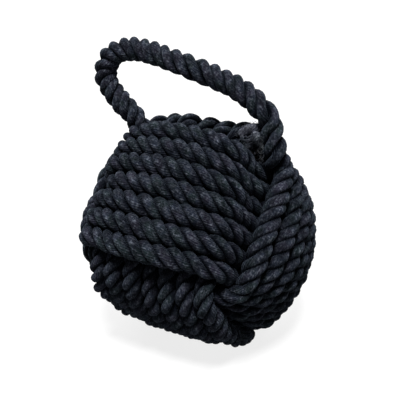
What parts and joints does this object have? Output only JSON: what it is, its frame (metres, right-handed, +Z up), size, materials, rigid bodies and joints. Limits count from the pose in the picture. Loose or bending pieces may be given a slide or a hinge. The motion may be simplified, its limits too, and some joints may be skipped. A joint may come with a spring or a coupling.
{
  "type": "rope knot doorstop",
  "caption": "Round doorstop of dark laid rope wound into a large ornamental ball knot over a weighted core, with a rope loop handle that leans over.",
  "frame": {"origin": "on the floor under the middle of the bounding box", "axes": "+Z up, +X to the right along the line between the handle's two roots, +Y to the back; the pictured side faces -Y and a little +X"},
  "size_m": [0.1642, 0.1763, 0.2135],
  "materials": {
    "navy_cotton": "matte",
    "handle_cotton": "matte",
    "cut_cotton": "matte",
    "canvas": "matte",
    "twine": "matte",
    "sand": "matte"
  },
  "bodies": {
    "ball": {"sand_fill": "sand", "core_bag": "canvas", "bag_tie": "twine", "first_turns": "navy_cotton", "second_turns": "navy_cotton", "third_turns": "navy_cotton", "rope_tail": "cut_cotton", "handle_root_right": "handle_cotton", "handle_root_left": "handle_cotton"},
    "handle": {"handle_loop": "handle_cotton"}
  },
  "joints": [
    {"name": "handle_swing", "type": "hinge", "parent": "ball", "child": "handle", "pos_m": [-0.0009, -0.0018, 0.1605], "axis": [1, 0, 0], "range_deg": [-60, 60]}
  ]
}
